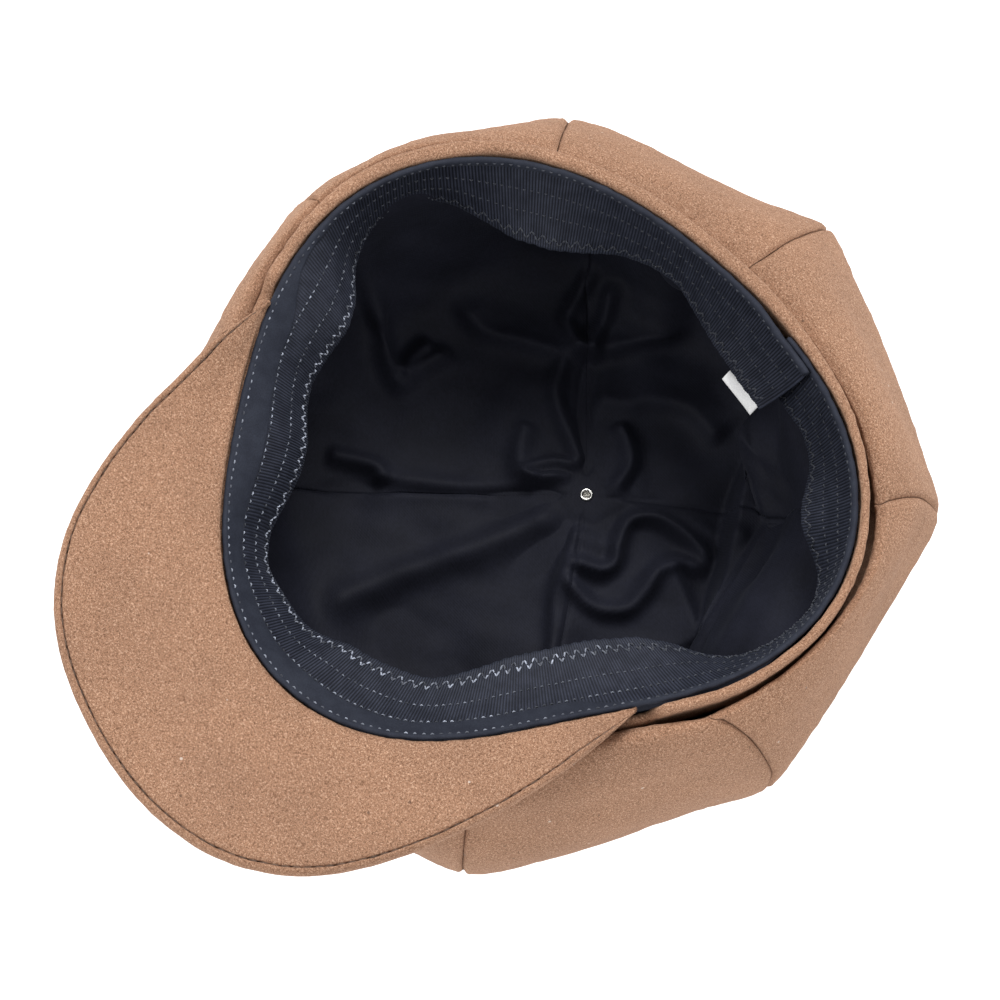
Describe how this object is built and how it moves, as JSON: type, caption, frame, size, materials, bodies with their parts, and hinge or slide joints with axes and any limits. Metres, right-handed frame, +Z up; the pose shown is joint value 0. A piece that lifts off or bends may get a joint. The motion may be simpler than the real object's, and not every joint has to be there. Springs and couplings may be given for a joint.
{
  "type": "newsboy cap",
  "caption": "Soft felt newsboy cap with a gored octagonal crown, stiff front brim, ribbed sweatband and dark lining, lying crown-down with its head opening up.",
  "frame": {"origin": "the flat lowest point of the crown button, on the surface that the cap lies on", "axes": "+Z up, out of the head opening, because the cap lies crown-down; -Y towards the front of the brim; +X towards the wearer's right. Worn, the cap is turned over by 180 degrees about Y, which keeps the brim forward at -Y."},
  "size_m": [0.2438, 0.2809, 0.1079],
  "materials": {
    "wool_felt": "heathered camel-brown felted wool with a soft fuzz",
    "lining_cotton": "near-black navy cotton with a soft sheen",
    "grosgrain": "dark navy ribbed grosgrain, satin",
    "binding_tape": "smooth dark navy tape",
    "thread": "pale grey sewing thread",
    "webbing": "stiff woven webbing",
    "brim_board": "moulded cap board",
    "label_tape": "folded white woven tape, blank",
    "steel": "bright nickel-plated steel"
  },
  "bodies": {
    "cap": {"crown_panel_1": "wool_felt", "crown_panel_2": "wool_felt", "crown_panel_3": "wool_felt", "crown_panel_4": "wool_felt", "crown_panel_5": "wool_felt", "crown_panel_6": "wool_felt", "crown_panel_7": "wool_felt", "crown_panel_8": "wool_felt", "lining_panel_1": "lining_cotton", "lining_panel_2": "lining_cotton", "lining_panel_3": "lining_cotton", "lining_panel_4": "lining_cotton", "outer_band": "wool_felt", "band_stiffener": "webbing", "sweatband": "grosgrain", "rim_binding": "binding_tape", "rim_stitch": "thread", "sweatband_stitch_upper": "thread", "sweatband_stitch_lower": "thread", "zigzag_stitch": "thread", "brim_upper_cloth": "wool_felt", "brim_board": "brim_board", "brim_under_cloth": "wool_felt", "brim_edge_stitch": "thread"},
    "button": {"button_cover": "wool_felt", "button_shell": "steel", "button_backplate": "steel", "button_shank": "steel"},
    "label": {"size_label": "label_tape"}
  },
  "joints": [
    {"name": "button_turn", "type": "hinge", "parent": "cap", "child": "button", "pos_m": [0, 0, 0], "axis": [0, 0, 1], "continuous": true},
    {"name": "label_flip", "type": "hinge", "parent": "cap", "child": "label", "pos_m": [0.0175, 0.0473, 0.071], "axis": [-0.9998, -0.0175, 0], "range_deg": [-40, 40]}
  ]
}
